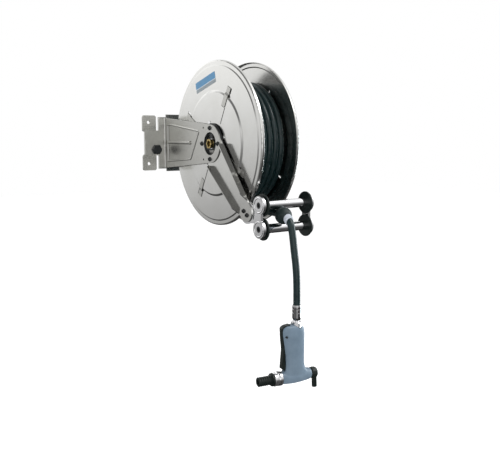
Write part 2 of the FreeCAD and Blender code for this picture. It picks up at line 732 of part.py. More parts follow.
# ---- hose --------------------------------------------------------------------------------------
HANG = [                    # free hose from the drum, through the guide, down to the gun
    V(-14, 0, -200.4), V(-15, -110, -198), V(-16, -214, -193.5), V(-18, -294, -195.5),
    V(-19.5, -321.5, -212), V(-20, -331, -246), V(-20.5, -338, -284), V(-20.3, -349, -338),
    V(GUN_X, GUN_Y, -390), V(GUN_X, GUN_Y, FERRULE_TOP),
]


def tangent_path(points):
    """Straight runs joined by arcs as large as the runs allow."""
    edges, radii, here = [], [], points[0]
    for last, corner, following in zip(points, points[1:], points[2:]):
        back, ahead = last - corner, following - corner
        half_turn = (math.pi - back.getAngle(ahead)) / 2
        shorter = min(back.Length, ahead.Length)
        radius = 0.45 * shorter / math.tan(half_turn)
        leg = 0.45 * shorter
        back.normalize()
        ahead.normalize()
        first, final = corner + back * leg, corner + ahead * leg
        middle = (back + ahead).normalize()
        centre = corner + middle * (radius / math.cos(half_turn))
        edges.append(Part.LineSegment(here, first).toShape())
        edges.append(Part.Arc(first, centre - middle * radius, final).toShape())
        radii.append(round(radius, 1))
        here = final
    edges.append(Part.LineSegment(here, points[-1]).toShape())
    return Part.Wire(edges), radii


def tube_along_hose(radius):
    path, radii = tangent_path(HANG)
    start = (HANG[1] - HANG[0]).normalize()
    section = Part.Wire(Part.makeCircle(radius, HANG[0], start))
    return path.makePipeShell([section], True, True), path.Length, radii


def hanging_hose():
    tube, length, radii = tube_along_hose(HOSE_D / 2)
    expected = math.pi * HOSE_D ** 2 / 4 * length
    print("hose length", round(length, 1), "arc radii", radii)
    print("hose volume against section times length", round(tube.Volume / expected, 4))
    return tube


STOP_CENTRE = V(-17.8, -286, -196.5)


def stop_half(up):
    """Half of the ball-shaped stop that is clamped round the hose."""
    ball = Part.makeSphere(STOP_R, STOP_CENTRE)
    bore, _, _ = tube_along_hose(HOSE_D / 2 + 0.02)
    low, high = (0.2, 30) if up > 0 else (-30, -0.2)
    x, y, z = STOP_CENTRE
    half = block(x - 30, x + 30, y - 30, y + 30, z + low, z + high)
    return ball.cut(bore).common(half)


def stop_sleeve():
    """Short sleeve round the hose where it leaves the stop and turns down."""
    outside, _, _ = tube_along_hose(SLEEVE_R)
    inside, _, _ = tube_along_hose(HOSE_D / 2 + 0.02)
    reach = Part.makeSphere(SLEEVE_END, STOP_CENTRE).cut(Part.makeSphere(STOP_R + 0.02, STOP_CENTRE))
    front = block(-80, 80, STOP_CENTRE.y - 80, STOP_CENTRE.y - 10, -300, -100)
    return outside.cut(inside).common(reach).common(front)


def hose_ferrule():
    """Crimped ferrule on the hose end."""
    top = FERRULE_TOP - 0.05
    outline = [
        (0, top), (11.2, top), (12.6, -441), (12.6, -446), (11.8, -447.5), (12.6, -449),
        (12.6, -456), (11.8, -457.5), (12.6, -459), (12.6, -472), (10.5, FERRULE_END), (0, FERRULE_END)]
    return turned_z(outline, GUN_X, GUN_Y)


def swivel_stem():
    """Stem below the ferrule, on which the gun turns."""
    stem = cyl_z(7.0, -512, FERRULE_END, GUN_X, GUN_Y)
    return fuse([stem, cyl_z(9.0, -515, -510, GUN_X, GUN_Y)])


# ---- spray gun ---------------------------------------------------------------------------------
def gun_point(x, z):
    return GUN_X + x, z


HANDLE_X = (-39.0, 23.0)
HANDLE_Y = 20.0
SHELL_T = 3.0
PIVOT = (-40.0, -519.0)
STEM_Z = -572.0
STEM_BACK = 38.5


def handle_solid(inset):
    """Handle and barrel housing, pulled in by inset all round."""
    x0, x1 = GUN_X + HANDLE_X[0] + inset, GUN_X + HANDLE_X[1] - inset
    half = HANDLE_Y - inset
    profile = [(x0 - 11, -494 - inset), (x0 - 10, -517), (x0, -575), (x0, BARREL_Z), (x1, BARREL_Z),
               (x1, -511 - inset), (x0 + 22, -491 - inset)]
    handle = plate_y(profile, GUN_Y - half, GUN_Y + half, [5, 20, 40, 0, 0, 9, 12])
    base = [V(x0 - 16, GUN_Y - half, BARREL_Z), V(x1, GUN_Y - half, BARREL_Z),
            V(x1, GUN_Y + half, BARREL_Z), V(x0 - 16, GUN_Y + half, BARREL_Z)]
    column = Part.Face(rounded_wire(base, [11 - inset, 16 - inset, 16 - inset, 11 - inset])).extrude(V(0, 0, 180))
    barrel = cyl_x(BARREL_R - inset, GUN_X - 48 + inset, GUN_X + 50 - inset, GUN_Y, BARREL_Z)
    return handle.common(column).fuse(barrel).removeSplitter()


def gun_shell(side):
    """One moulded half of the gun body; side is -1 for the front half and 1 for the back half."""
    body = handle_solid(0.0)
    body = body.cut(handle_solid(SHELL_T))
    body = body.cut(cyl_z(16.2, NUT_BOTTOM - 0.5, -470, GUN_X, GUN_Y))
    body = body.cut(cyl_z(9.1, -530, -480, GUN_X, GUN_Y))
    body = body.cut(cyl_x(11.05, GUN_X - 60, GUN_X - 40, GUN_Y, BARREL_Z))
    body = body.cut(cyl_x(8.1, GUN_X + 40, GUN_X + 60, GUN_Y, BARREL_Z))
    body = body.cut(block(GUN_X - 60, GUN_X - 24, GUN_Y - 8.6, GUN_Y + 8.6, -618, -480))
    body = body.cut(cyl_y(2.55, GUN_Y - 30, GUN_Y + 30, *gun_point(*PIVOT)))
    low, high = (GUN_Y - 60, GUN_Y - 0.02) if side < 0 else (GUN_Y + 0.02, GUN_Y + 60)
    return body.common(block(GUN_X - 100, GUN_X + 100, low, high, -700, -470))


def valve_body():
    """Brass water way: down the handle, then along the barrel."""
    down = cyl_z(10.5, BARREL_Z, -517, GUN_X, GUN_Y)
    along = cyl_x(11.0, GUN_X - 55, GUN_X + 30, GUN_Y, BARREL_Z)
    body = fuse([down, along, cyl_x(6.5, GUN_X - 17, GUN_X, GUN_Y, STEM_Z)])
    body = body.cut(cyl_z(6.0, BARREL_Z, -510, GUN_X, GUN_Y))
    body = body.cut(cyl_x(6.5, GUN_X - 60, GUN_X + 24, GUN_Y, BARREL_Z))
    body = body.cut(cyl_x(3.05, GUN_X - 20, GUN_X, GUN_Y, STEM_Z))
    return body.cut(cyl_x(4.05, GUN_X + 20, GUN_X + 40, GUN_Y, BARREL_Z))


def swivel_nut():
    """Nut that joins the hose stem to the gun and turns with the gun."""
    outline = [(7.1, NUT_TOP), (14.0, NUT_TOP), (15.5, NUT_TOP - 2), (15.5, NUT_BOTTOM),
               (9.1, NUT_BOTTOM), (9.1, NUT_TOP - 8), (7.1, NUT_TOP - 8)]
    nut = turned_z(outline, GUN_X, GUN_Y)
    across_flats = 29
    flats = hexagon_x(across_flats, 0, 60)
    flats.rotate(V(0, 0, 0), V(0, 1, 0), -90)
    return nut.common(flats.translated(V(GUN_X, GUN_Y, -520)))


def trigger():
    """Black lever down the front of the handle, hinged near its top."""
    points = [(GUN_X - 50, -495), (GUN_X - 40, -489.5), (GUN_X - 24, -487.5), (GUN_X - 24, -490.6),
              (GUN_X - 36, -493), (GUN_X - 33, -530), (GUN_X - 40, -560), (GUN_X - 37.5, -614),
              (GUN_X - 49.5, -611), (GUN_X - 45, -556), (GUN_X - 48.5, -525)]
    lever = plate_y(points, GUN_Y - 8, GUN_Y + 8, [6, 6, 0.8, 0.8, 3, 3, 6, 2.5, 2.5, 30, 10])
    return lever.cut(cyl_y(2.6, GUN_Y - 30, GUN_Y + 30, *gun_point(*PIVOT)))


def trigger_pin():
    return cyl_y(2.5, GUN_Y - 19.5, GUN_Y + 19.5, *gun_point(*PIVOT))


def valve_stem():
    """Push rod between the trigger and the valve."""
    return cyl_x(3.0, GUN_X - STEM_BACK, GUN_X - 5, GUN_Y, STEM_Z)


def regulator_knob():
    """Regulator knob on the back of the barrel, with a finger tail."""
    outline = [(51, 0), (51, 17.5), (61, 16.5), (66, 10), (66, 0)]
    body = turned([(GUN_X + x, r) for x, r in outline], [0, 2, 4, 2, 0], GUN_Y, BARREL_Z)
    tail_end = BARREL_Z - 43
    tail = plate_x([(GUN_Y - 5, BARREL_Z), (GUN_Y + 5, BARREL_Z), (GUN_Y + 4, tail_end),
                    (GUN_Y - 4, tail_end)], GUN_X + 53, GUN_X + 65, [0, 0, 3, 3])
    return fuse([body, tail, cyl_x(4.0, GUN_X + 26, GUN_X + 51, GUN_Y, BARREL_Z)])


def coupling_socket():
    """Quick coupling body screwed on the barrel."""
    outline = [(-74, 9.05), (-74, 14.5), (-57, 14.5), (-57, 20), (-50.5, 20), (-48.2, 17.5),
               (-48.2, 11.05), (-55, 11.05), (-55, 9.05)]
    return turned([(GUN_X + x, r) for x, r in outline], 0.0, GUN_Y, BARREL_Z)


def coupling_sleeve():
    """Sliding collar of the quick coupling, with two grip ridges."""
    outline = [(-73.5, 14.55), (-73.5, 18), (-72, 19.5), (-69, 19.5), (-68, 18), (-65, 18),
               (-64, 19.5), (-62, 19.5), (-61.5, 19), (-61.5, 14.55)]
    return turned([(GUN_X + x, r) for x, r in outline], 0.0, GUN_Y, BARREL_Z)


def nozzle():
    """Ribbed black nozzle that plugs into the coupling."""
    tip, rib_pitch = -120, 6.5
    outline = [(tip, 7), (tip, 11.5)]
    for i in range(6):
        x = tip + rib_pitch * i
        outline += [(x + 1.5, 13.2), (x + 4.6, 12.6), (x + 6.0, 11.8)]
    outline += [(-79.5, 14), (-79, 18), (-75, 18), (-74.5, 9.0), (-59, 9.0), (-59, 6), (-113, 6)]
    return turned([(GUN_X + x, r) for x, r in outline], 0.0, GUN_Y, BARREL_Z)


# ---- write every sub-part ----------------------------------------------------------------------
GUN_PARTS = {
    "valve_body", "swivel_nut", "trigger", "trigger_pin", "valve_stem", "regulator_knob",
    "coupling_socket", "coupling_sleeve", "nozzle", "gun_front_shell", "gun_back_shell",
}
SUB_PARTS = {
    "wall_plate": wall_plate, "bracket_arm": bracket_arm, "lock_bolt": lock_bolt,
    "hub_bolts": hub_bolts, "guide_arm": guide_arm, "guide_link": guide_link,
    "guide_bolts": guide_bolts, "roller_shafts": roller_shafts, "shaft_screws": shaft_screws,
    "hub_flange": hub_flange, "axle": axle, "inlet_socket": inlet_socket, "axle_clips": axle_clips,
    "spring_arbor": spring_arbor, "axle_nut": axle_nut, "pawl_pin": pawl_pin,
    "near_disc": near_disc, "far_disc": far_disc, "near_disc_tabs": disc_tabs,
    "far_disc_tabs": far_disc_tabs, "drum_core": drum_core, "near_hub": near_hub,
    "far_hub": far_hub, "hub_bearings": hub_bearings, "hub_screws": hub_screws,
    "ratchet_ring": ratchet_ring, "spring_case": spring_case, "spring_cover": spring_cover,
    "rewind_spring": rewind_spring, "swivel_rotor": swivel_rotor, "swivel_seals": swivel_seals,
    "outlet_pipe": outlet_pipe, "wound_hose": wound_hose, "label_plate": label_plate,
    "pawl": pawl, "hanging_hose": hanging_hose, "hose_ferrule": hose_ferrule,
    "stop_sleeve": stop_sleeve, "swivel_stem": swivel_stem, "valve_body": valve_body,
    "swivel_nut": swivel_nut, "trigger": trigger, "trigger_pin": trigger_pin,
    "valve_stem": valve_stem, "regulator_knob": regulator_knob,
    "coupling_socket": coupling_socket, "coupling_sleeve": coupling_sleeve, "nozzle": nozzle,
}
for name, make in SUB_PARTS.items():
    save(name, make())
for name, span in (("near", NEAR_PLATE), ("far", FAR_PLATE)):
    save(name + "_end_plate", end_plate(*span))
for name, height in zip(("upper", "lower"), ROLLER_ZS):
    save(name + "_roller_tube", roller_tube(height))
    save(name + "_roller_discs", roller_discs(height))
    save(name + "_roller_bushes", roller_bushes(height))
for name, up in (("upper", 1), ("lower", -1)):
    save("stop_" + name + "_half", stop_half(up))
for name, side in (("front", -1), ("back", 1)):
    save("gun_" + name + "_shell", gun_shell(side))
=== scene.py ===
"""Looks of a wall-mounted, spring-rewind stainless hose reel with a roller guide and a spray gun."""
import math

import bmesh
import bpy
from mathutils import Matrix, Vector


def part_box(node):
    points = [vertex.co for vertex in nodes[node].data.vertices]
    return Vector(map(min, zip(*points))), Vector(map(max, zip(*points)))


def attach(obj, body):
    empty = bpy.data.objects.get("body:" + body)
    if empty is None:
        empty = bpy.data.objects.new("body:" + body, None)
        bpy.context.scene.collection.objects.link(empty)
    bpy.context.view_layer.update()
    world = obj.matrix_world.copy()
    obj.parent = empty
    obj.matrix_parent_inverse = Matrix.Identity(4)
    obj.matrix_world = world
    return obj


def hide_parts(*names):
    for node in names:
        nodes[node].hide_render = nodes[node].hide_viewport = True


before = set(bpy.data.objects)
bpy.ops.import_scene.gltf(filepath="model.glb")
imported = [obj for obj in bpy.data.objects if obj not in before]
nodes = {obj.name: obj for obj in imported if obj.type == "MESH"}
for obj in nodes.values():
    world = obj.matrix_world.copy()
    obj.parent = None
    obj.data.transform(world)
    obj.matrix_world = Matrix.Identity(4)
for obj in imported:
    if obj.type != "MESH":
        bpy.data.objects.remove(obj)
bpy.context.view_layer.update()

WALL = 0.303            # reel axis to wall face; the row's origin is on the wall
HOSE_D = 0.020


def reel(x, y, z):
    """A point given in millimetres from the reel axis, in the row frame in metres."""
    return Vector((x / 1000, y / 1000 - WALL, z / 1000))


# ---- camera ------------------------------------------------------------------------------------
lens = bpy.data.cameras.new("camera")
lens.lens, lens.sensor_width = 46.8, 36.0
lens.clip_start, lens.clip_end = 0.05, 50
camera = bpy.data.objects.new("camera", lens)
bpy.context.scene.collection.objects.link(camera)
camera.location = (-1.1054, -2.0204, 0.0202)
camera.rotation_mode = "QUATERNION"
camera.rotation_quaternion = Vector((0.55786, 0.81902, -0.13416)).to_track_quat("-Z", "Y")
bpy.context.scene.camera = camera


# ---- material building -------------------------------------------------------------------------
class Shader:
    """A small wrapper that adds nodes to one material."""

    def __init__(self, name, color, metallic=0.0, roughness=0.5, **sockets):
        self.material = bpy.data.materials.new(name)
        self.material.use_nodes = True
        self.tree = self.material.node_tree
        self.bsdf = self.tree.nodes["Principled BSDF"]
        self.bsdf.inputs["Base Color"].default_value = (*color, 1)
        self.bsdf.inputs["Metallic"].default_value = metallic
        self.bsdf.inputs["Roughness"].default_value = roughness
        for socket, value in sockets.items():
            self.bsdf.inputs[socket.replace("_", " ")].default_value = value
        self.where = self.node("ShaderNodeTexCoord").outputs["Object"]
        self.height = None

    def node(self, kind, **settings):
        made = self.tree.nodes.new(kind)
        for key, value in settings.items():
            setattr(made, key, value)
        return made

    def link(self, source, target):
        if isinstance(source, (int, float)):
            target.default_value = source
        else:
            self.tree.links.new(source, target)

    def math(self, operation, a, b=0.0):
        made = self.node("ShaderNodeMath", operation=operation)
        self.link(a, made.inputs[0])
        self.link(b, made.inputs[1])
        return made.outputs[0]

    def parts(self, vector):
        split = self.node("ShaderNodeSeparateXYZ")
        self.link(vector, split.inputs[0])
        return split.outputs

    def vector(self, x, y, z):
        made = self.node("ShaderNodeCombineXYZ")
        for source, target in zip((x, y, z), made.inputs):
            self.link(source, target)
        return made.outputs[0]

    def noise(self, scale, vector=None, detail=3.0, roughness=0.6):
        made = self.node("ShaderNodeTexNoise")
        made.inputs["Scale"].default_value = scale
        made.inputs["Detail"].default_value = detail
        made.inputs["Roughness"].default_value = roughness
        self.link(vector or self.where, made.inputs["Vector"])
        return made.outputs["Fac"]

    def remap(self, value, low, high, to_low, to_high):
        made = self.node("ShaderNodeMapRange")
        for source, target in zip((value, low, high, to_low, to_high), made.inputs):
            self.link(source, target)
        return made.outputs[0]

    def mix(self, share, a, b):
        made = self.node("ShaderNodeMix", data_type="RGBA")
        self.link(share, made.inputs[0])
        for source, target in ((a, made.inputs[6]), (b, made.inputs[7])):
            if isinstance(source, tuple):
                target.default_value = (*source, 1)
            else:
                self.link(source, target)
        return made.outputs[2]

    def colored(self, source):
        self.link(source, self.bsdf.inputs["Base Color"])

    def rough(self, source):
        self.link(source, self.bsdf.inputs["Roughness"])

    def bump(self, source, distance, strength=1.0):
        made = self.node("ShaderNodeBump")
        made.inputs["Strength"].default_value = strength
        made.inputs["Distance"].default_value = distance
        self.link(source, made.inputs["Height"])
        if self.height is not None:
            self.link(self.height, made.inputs["Normal"])
        self.height = made.outputs[0]
        self.link(self.height, self.bsdf.inputs["Normal"])


def grey(value, tint=0.0):
    """Grey with a trace of green, a little warm where tint is above zero and cool below."""
    return (value * (1 + 0.5 * tint), value * (1 + 0.4 * tint), value * (1 - tint))


def turned_steel(name="turned_steel", level=0.62, shine=0.17):
    """Pressed sheet with faint circular polishing round the reel axis, and a faint broad waviness."""
    s = Shader(name, grey(level, 0.015), 1.0, shine)
    x, y, z = s.parts(s.where)
    y = s.math("ADD", y, WALL)
    radius = s.math("SQRT", s.math("ADD", s.math("MULTIPLY", y, y), s.math("MULTIPLY", z, z)))
    turn = s.math("ARCTAN2", y, z)
    polar = s.vector(s.math("MULTIPLY", radius, 1500), s.math("MULTIPLY", turn, 2.5), 0.0)
    rings = s.noise(1.0, polar, 4)
    smudge = s.noise(11.0, None, 4)
    s.colored(s.mix(s.remap(smudge, 0.3, 0.7, 0.0, 1.0),
                    grey(level * 0.95, 0.025), grey(level * 1.04, 0.015)))
    s.rough(s.math("ADD", s.remap(rings, 0.3, 0.7, shine - 0.03, shine + 0.04),
                   s.remap(smudge, 0.3, 0.7, -0.01, 0.02)))
    s.bump(rings, 0.00001, 0.12)
    s.bump(s.noise(3.5, None, 1), 0.0012, 0.25)
    return s.material


def sheet_steel(name="sheet_steel", level=0.52, along=(0.15, 1.0, 1.0), shine=0.34, warm=0.035):
    """Flat sheet with a linear grain, light scratches and handling marks."""
    s = Shader(name, grey(level, warm), 1.0, shine)
    stretch = s.node("ShaderNodeMapping")
    stretch.inputs["Scale"].default_value = along
    s.link(s.where, stretch.inputs["Vector"])
    grain = s.noise(900.0, stretch.outputs[0], 3)
    smudge = s.noise(14.0, None, 4)
    s.colored(s.mix(s.remap(smudge, 0.3, 0.7, 0.0, 1.0),
                    grey(level * 0.93, warm), grey(level * 1.06, warm)))
    s.rough(s.math("ADD", s.remap(grain, 0.3, 0.7, shine - 0.03, shine + 0.05),
                   s.remap(smudge, 0.3, 0.7, -0.02, 0.03)))
    s.bump(grain, 0.00001, 0.3)
    s.bump(s.noise(6.0, None, 1), 0.0010, 0.25)
    return s.material


def polished(name="polished", level=0.80, shine=0.09):
    """Bright polished steel with fine wipe marks."""
    s = Shader(name, grey(level, -0.01), 1.0, shine)
    wipe = s.noise(60.0, None, 4)
    s.rough(s.remap(wipe, 0.3, 0.75, shine * 0.6, shine * 1.7))
    s.colored(s.mix(wipe, grey(level * 0.92, -0.01), grey(level * 1.05, -0.01)))
    s.bump(s.noise(700.0, None, 2), 0.00001, 0.3)
    return s.material


def moulded(name, color, shine, grain=900.0, depth=0.00003):
    """Moulded plastic: eroded grain, faint paler patches of dust at random, slightly uneven gloss."""
    s = Shader(name, color, 0.0, shine, Specular_IOR_Level=0.32)
    patches = s.noise(35.0, None, 4)
    light = tuple(c * 1.35 + 0.004 for c in color)
    s.colored(s.mix(s.remap(patches, 0.35, 0.75, 0.0, 1.0), color, light))
    s.rough(s.remap(patches, 0.3, 0.7, shine - 0.05, shine + 0.08))
    s.bump(s.noise(grain, None, 2), depth, 0.6)
    return s.material


def hose_rubber():
    """Smooth cover of the hose, dark blue-green, with scuffs and a little dust."""
    s = Shader("hose_rubber", (0.005, 0.014, 0.015), 0.0, 0.26, Specular_IOR_Level=0.38)
    scuffs = s.noise(45.0, None, 6, 0.7)
    s.colored(s.mix(s.remap(scuffs, 0.45, 0.8, 0.0, 1.0), (0.004, 0.015, 0.016), (0.013, 0.030, 0.032)))
    s.rough(s.remap(scuffs, 0.3, 0.75, 0.25, 0.34))
    s.bump(s.noise(1400.0, None, 2), 0.000006, 0.5)
    s.bump(s.noise(60.0, None, 2), 0.00010, 0.2)
    return s.material


def brass(name="brass", color=(0.55, 0.42, 0.17)):
    """Plain machined brass or bronze with dull stains."""
    s = Shader(name, color, 1.0, 0.32)
    stains = s.noise(160.0, None, 5)
    s.colored(s.mix(s.remap(stains, 0.4, 0.65, 0.0, 1.0), color, tuple(c * 0.35 for c in color)))
    s.rough(s.remap(stains, 0.3, 0.7, 0.22, 0.5))
    s.bump(stains, 0.00005, 0.5)
    return s.material


LABEL_CLOCK = math.radians(-14.6)       # where the plate sits round the disc, from straight up
RULE = (0.1862, 0.1868, 0.1874)         # the rule's lower edge, middle and upper edge, from the axis


def label_film():
    """Blank identification plate: blue field over a silver strip, with a thin pale rule between."""
    s = Shader("label_film", (0.07, 0.28, 0.55), 0.0, 0.34, Coat_Weight=0.35, Coat_Roughness=0.2)
    x, y, z = s.parts(s.where)
    y = s.math("ADD", y, WALL)
    up = s.math("ADD", s.math("MULTIPLY", y, -math.sin(LABEL_CLOCK)),
                s.math("MULTIPLY", z, math.cos(LABEL_CLOCK)))
    blue = s.mix(s.noise(80.0, None, 3), (0.018, 0.165, 0.340), (0.028, 0.205, 0.400))
    silver = s.mix(s.noise(240.0, None, 3), (0.16, 0.20, 0.22), (0.22, 0.26, 0.29))
    rule = s.math("MULTIPLY", s.math("GREATER_THAN", up, RULE[0]), s.math("LESS_THAN", up, RULE[2]))
    field = s.mix(s.math("GREATER_THAN", up, RULE[1]), silver, blue)
    s.colored(s.mix(rule, field, (0.75, 0.80, 0.83)))
    s.bump(s.noise(500.0, None, 2), 0.00002, 0.4)
    return s.material


def grip_cover():
    """Soft blue-grey cover of the gun, finely grained, a little darker in random worn patches."""
    base = (0.122, 0.176, 0.232)
    s = Shader("grip_cover", base, 0.0, 0.46, Specular_IOR_Level=0.55)
    wear = s.noise(28.0, None, 5)
    s.colored(s.mix(s.remap(wear, 0.35, 0.7, 0.0, 1.0), (0.108, 0.158, 0.210), (0.138, 0.196, 0.256)))
    s.rough(s.remap(wear, 0.3, 0.7, 0.36, 0.48))
    s.bump(s.noise(1100.0, None, 2), 0.00004, 0.6)
    return s.material


look = {
    "turned": turned_steel(),
    "sheet": sheet_steel(),
    "arm": sheet_steel("arm_steel", 0.60, (1.0, 0.5, 0.5), 0.18, 0.025),
    "plate": sheet_steel("wall_steel", 0.46, (0.12, 1.0, 1.0), 0.26),
    "inner": turned_steel("inner_steel", 0.58, 0.20),
    "polished": polished(),
    "end_plate": polished("end_plate_steel", 0.86, 0.16),
    "ferrule": polished("ferrule_steel", 0.34, 0.08),
    "black_plastic": moulded("black_plastic", (0.004, 0.008, 0.007), 0.38),
    "black_steel": moulded("black_steel", (0.010, 0.012, 0.013), 0.34, 500.0, 0.00005),
    "black_rubber": moulded("black_rubber", (0.006, 0.014, 0.014), 0.50, 700.0, 0.00006),
    "sleeve": moulded("grey_plastic", (0.42, 0.45, 0.50), 0.32),
    "hose": hose_rubber(),
    "brass": brass(),
    "bronze": brass("bronze", (0.36, 0.22, 0.11)),
    "label": label_film(),
    "grip": grip_cover(),
}

# CAD nodes by the look that they wear
wears = {
    "plate": "wall_plate",
    "sheet": "bracket_arm spring_arbor near_disc_tabs",
    "black_steel": "lock_bolt hub_bolts guide_bolts shaft_screws hub_flange axle_clips rewind_spring "
                   "pawl trigger_pin",
    "arm": "guide_arm",
    "end_plate": "guide_link near_end_plate far_end_plate",
    "polished": "roller_shafts upper_roller_tube lower_roller_tube axle axle_nut pawl_pin hub_screws "
                "swivel_stem swivel_nut valve_stem coupling_socket coupling_sleeve",
    "black_plastic": "upper_roller_discs lower_roller_discs trigger regulator_knob nozzle",
    "bronze": "upper_roller_bushes lower_roller_bushes hub_bearings ratchet_ring",
    "brass": "inlet_socket swivel_rotor outlet_pipe valve_body",
    "turned": "near_disc drum_core near_hub far_hub spring_case spring_cover",
    "inner": "far_disc far_disc_tabs",
    "black_rubber": "swivel_seals stop_upper_half stop_lower_half",
    "label": "label_plate",
    "sleeve": "stop_sleeve",
    "ferrule": "hose_ferrule",
    "hose": "wound_hose hanging_hose",
    "grip": "gun_front_shell gun_back_shell",
}
for key, names in wears.items():
    for name in names.split():
        mesh = nodes[name].data
        mesh.materials.clear()
        mesh.materials.append(look[key])
        mesh.shade_smooth()
        mesh.set_sharp_from_angle(angle=math.radians(28))


# ---- moulded pieces ----------------------------------------------------------------------------
GUN_X, GUN_Y = -0.020, -0.352 - WALL    # swivel axis of the gun in the row frame
GUN_TURN = math.radians(-8)
BARREL_Z = -0.638
PIVOT = (-0.040, -0.519)                # trigger pivot, along the gun and in height


def from_gun(along, across, height):
    """A point given along the barrel, across the gun and in height, in the row frame."""
    cos, sin = math.cos(GUN_TURN), math.sin(GUN_TURN)
    return Vector((GUN_X + along * cos - across * sin, GUN_Y + along * sin + across * cos, height))


def new_piece(name, mesh, material):
    """New object in the scene, with one material."""
    mesh.materials.clear()
    mesh.materials.append(material)
    made = bpy.data.objects.new(name, mesh)
    bpy.context.scene.collection.objects.link(made)
    return made


def skin(rings):
    """Closed mesh through rings of equally many points, capped at both ends."""
    made = bmesh.new()
    rows = [[made.verts.new(point) for point in ring] for ring in rings]
    for low, high in zip(rows, rows[1:]):
        for i in range(len(low)):
            j = (i + 1) % len(low)
            made.faces.new((low[i], low[j], high[j], high[i]))
    made.faces.new(rows[0][::-1])
    made.faces.new(rows[-1])
    bmesh.ops.recalc_face_normals(made, faces=made.faces)
    mesh = bpy.data.meshes.new("skin")
    made.to_mesh(mesh)
    made.free()
    return mesh


def oval(count, half_a, half_b, power=2.0):
    """Points of a superellipse about the origin."""
    points = []
    for i in range(count):
        turn = math.tau * i / count
        cos, sin = math.cos(turn), math.sin(turn)
        points.append((half_a * math.copysign(abs(cos) ** (2 / power), cos),
                       half_b * math.copysign(abs(sin) ** (2 / power), sin)))
    return points


def applied(made):
    """Replace an object's mesh with the result of its modifiers."""
    graph = bpy.context.evaluated_depsgraph_get()
    result = bpy.data.meshes.new_from_object(made.evaluated_get(graph))
    made.modifiers.clear()
    made.data = result


def remeshed(made, voxel, factor, rounds):
    """Add an even skin of the given voxel size and soften it."""
    skin_over = made.modifiers.new("remesh", "REMESH")
    skin_over.mode, skin_over.voxel_size = "VOXEL", voxel
    ease = made.modifiers.new("ease", "SMOOTH")
    ease.factor, ease.iterations = factor, rounds
    applied(made)


def blended(made, others, voxel, rounds):
    """Join closed meshes into one skin and soften what joins them."""
    for other in others:
        join = made.modifiers.new("join", "BOOLEAN")
        join.operation, join.object, join.solver = "UNION", other, "EXACT"
    remeshed(made, voxel, 0.6, rounds)
    for other in others:
        bpy.data.objects.remove(other)


def carved(made, cutters):
    """Cut closed meshes out of a piece."""
    for cutter in cutters:
        cut = made.modifiers.new("cut", "BOOLEAN")
        cut.operation, cut.object, cut.solver = "DIFFERENCE", cutter, "EXACT"
    applied(made)
    for cutter in cutters:
        bpy.data.objects.remove(cutter)


def rod(start, end, radius):
    """Round bar between two points."""
    start, end = Vector(start), Vector(end)
    side = (end - start).orthogonal().normalized()
    other = (end - start).normalized().cross(side)
    rings = [[place + side * a + other * b for a, b in oval(40, radius, radius)]
             for place in (start, end)]
    return new_piece("rod", skin(rings), look["grip"])


# (height, front, back, half width) of the handle, in millimetres along the gun from its swivel axis
HANDLE = [
    (-489.5, -33, 7, 8), (-491.5, -42, 13, 13), (-496, -48.5, 18, 16.5), (-504, -50.5, 21.5, 18.5),
    (-517, -49.5, 22.5, 19.5), (-545, -44.5, 22.5, 19.5), (-575, -40.5, 22, 19), (-597, -39.5, 22, 19),
    (-610, -40, 24, 19), (-619, -42.5, 29, 18.5), (-627, -47, 37, 17.5), (-636, -49, 44, 16),
    (-646, -44, 38, 15), (-654, -34, 24, 12),
]
# (along, radius, rise of the centre) of the barrel, from the coupling end to the knob end
BARREL = [(-49.5, 17.2, 0), (-44, 17.6, -0.2), (-30, 18.3, -0.9), (-10, 18.8, -1.4), (10, 18.3, -1.0),
          (28, 17.3, -0.2), (38, 16.2, 0.4), (43, 14.8, 0.5), (45, 12.8, 0.5)]


SLOT_ALONG, SLOT_HALF, SLOT_HEIGHT = (-0.070, -0.024), 0.0088, (-0.6185, -0.48)     # for the trigger
BORE_R, BORE_HEIGHT = 0.0162, (-0.5065, -0.47)      # round the swivel nut
PIN_R, PIN_HALF = 0.0028, 0.03
SEAM_HALF = 0.00012                                 # half the gap between the two halves


